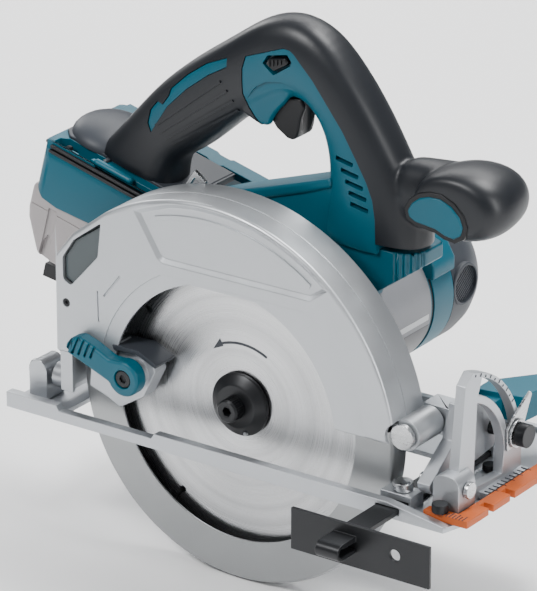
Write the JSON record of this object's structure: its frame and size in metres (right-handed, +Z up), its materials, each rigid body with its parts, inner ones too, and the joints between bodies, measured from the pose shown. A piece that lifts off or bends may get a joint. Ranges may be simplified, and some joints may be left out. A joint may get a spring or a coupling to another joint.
{
  "type": "circular saw",
  "caption": "Cordless circular saw with a tilting sole, swinging blade guard, D-shaped main handle, front grip, side motor and a slide-on battery pack.",
  "frame": {"origin": "a point on the underside of the sole, on its wide side, 60 mm from the blade's middle plane and level with the spindle", "axes": "+X is the cutting direction, +Y points from the blade to the motor, +Z is up"},
  "size_m": [0.3194, 0.267, 0.3104],
  "materials": {
    "cast_aluminium": "sand-cast, satin, lightly blasted",
    "silver_paint": "satin silver paint on a die casting",
    "guard_metal": "satin, pressed and brushed",
    "blade_steel": "circular ground lines, bright",
    "steel": "zinc plated, satin",
    "black_steel": "black oxide, slightly oily",
    "teal_plastic": "moulded, fine spark-eroded grain",
    "grip_rubber": "soft overmould, matt",
    "dark_plastic": "glass-filled nylon, satin",
    "black_plastic": "moulded, satin",
    "orange_plastic": "moulded, satin",
    "pack_grey": "moulded, fine grain",
    "lamination": "stacked steel sheets, varnished",
    "copper": "turned copper bars"
  },
  "bodies": {
    "base": {"base_plate": "cast_aluminium", "bevel_quadrant": "cast_aluminium", "rear_hinge_ear": "cast_aluminium", "front_hinge_pin": "steel", "rear_hinge_pin": "steel", "quadrant_screw": "black_steel", "top_guide": "orange_plastic", "guide_screw": "black_steel"},
    "rip_fence": {"rip_fence": "black_steel"},
    "fence_clamp": {"fence_clamp_screw": "steel"},
    "bevel_frame": {"front_yoke": "cast_aluminium", "rear_yoke": "cast_aluminium", "depth_guide": "steel", "depth_pivot_pin": "steel", "bevel_pointer": "steel", "bevel_washer": "steel", "bevel_bolt": "black_steel"},
    "bevel_lever": {"bevel_lever": "teal_plastic"},
    "saw_body": {"blade_case": "silver_paint", "gear_housing": "cast_aluminium", "gear_cover": "cast_aluminium", "front_spindle_bearing": "steel", "rear_spindle_bearing": "steel", "motor_housing": "teal_plastic", "motor_end_cap": "dark_plastic", "stator": "lamination", "rear_motor_bearing": "steel", "upper_brush": "black_plastic", "lower_brush": "black_plastic", "handle_shell_right": "teal_plastic", "handle_shell_left": "teal_plastic", "handle_rubber": "grip_rubber", "front_grip": "grip_rubber", "front_grip_cap": "teal_plastic", "power_switch": "black_plastic", "battery_carrier": "teal_plastic", "carrier_cover": "dark_plastic", "depth_bolt": "steel"},
    "lower_guard": {"lower_guard": "guard_metal", "retract_lever": "teal_plastic", "lever_screw": "black_steel"},
    "blade": {"saw_blade": "blade_steel", "outer_flange": "black_steel", "inner_flange": "steel", "blade_bolt": "black_steel", "spindle": "steel", "driven_gear": "steel"},
    "armature": {"motor_shaft": "steel", "pinion_gear": "steel", "cooling_fan": "black_plastic", "armature_stack": "lamination", "commutator": "copper"},
    "trigger": {"trigger": "black_plastic"},
    "lock_off": {"lock_off_lever": "black_plastic"},
    "battery_pack": {"battery_pack": "pack_grey"},
    "pack_button": {"pack_button": "black_plastic"},
    "wrench": {"hex_wrench": "black_steel"},
    "depth_lever": {"depth_lever": "black_plastic"}
  },
  "joints": [
    {"name": "bevel_tilt", "type": "hinge", "parent": "base", "child": "bevel_frame", "pos_m": [0, -0.068, 0.0175], "axis": [1, 0, 0], "range_deg": [0, 50]},
    {"name": "depth_swing", "type": "hinge", "parent": "bevel_frame", "child": "saw_body", "pos_m": [0.112, -0.06, 0.041], "axis": [0, 1, 0], "range_deg": [0, 36]},
    {"name": "rip_fence_slide", "type": "slide", "parent": "base", "child": "rip_fence", "axis": [0, -1, 0], "range_m": [-0.01, 0.09]},
    {"name": "fence_clamp_turn", "type": "hinge", "parent": "base", "child": "fence_clamp", "pos_m": [0.1115, -0.074, 0.01], "axis": [0, 0, 1], "range_deg": [0, 360]},
    {"name": "bevel_lever_turn", "type": "hinge", "parent": "bevel_frame", "child": "bevel_lever", "pos_m": [0.114, -0.01587, 0.02953], "axis": [1, 0, 0], "range_deg": [0, 45]},
    {"name": "guard_swing", "type": "hinge", "parent": "saw_body", "child": "lower_guard", "pos_m": [0, -0.06, 0.0265], "axis": [0, 1, 0], "range_deg": [0, 112], "stiffness_Nm_per_rad": 0.3, "springref_deg": -45.84},
    {"name": "blade_spin", "type": "hinge", "parent": "saw_body", "child": "blade", "pos_m": [0, -0.06, 0.0265], "axis": [0, 1, 0], "continuous": true},
    {"name": "armature_spin", "type": "hinge", "parent": "saw_body", "child": "armature", "pos_m": [0.007, -0.06, 0.0545], "axis": [0, 1, 0], "continuous": true},
    {"name": "trigger_pull", "type": "hinge", "parent": "saw_body", "child": "trigger", "pos_m": [0.014, -0.019, 0.188], "axis": [0, 1, 0], "range_deg": [0, 12], "stiffness_Nm_per_rad": 0.3, "springref_deg": -17.19},
    {"name": "lock_off_press", "type": "slide", "parent": "saw_body", "child": "lock_off", "axis": [0, 1, 0], "range_m": [0, 0.003], "stiffness_N_per_m": 300, "springref_m": -0.002},
    {"name": "pack_slide", "type": "slide", "parent": "saw_body", "child": "battery_pack", "axis": [-0.9681, 0, 0.2504], "range_m": [0, 0.09]},
    {"name": "pack_button_press", "type": "slide", "parent": "battery_pack", "child": "pack_button", "axis": [0.9681, 0, -0.2504], "range_m": [0, 0.003], "stiffness_N_per_m": 400, "springref_m": -0.002},
    {"name": "wrench_slide", "type": "slide", "parent": "saw_body", "child": "wrench", "axis": [-0.9681, 0, 0.2504], "range_m": [0, 0.065]},
    {"name": "depth_lever_turn", "type": "hinge", "parent": "saw_body", "child": "depth_lever", "pos_m": [-0.06775, -0.036, 0.03158], "axis": [0, 1, 0], "range_deg": [-30, 0]}
  ],
  "couplings": [
    {"joint": "armature_spin", "follows": "blade_spin", "ratio": -3.3636}
  ]
}
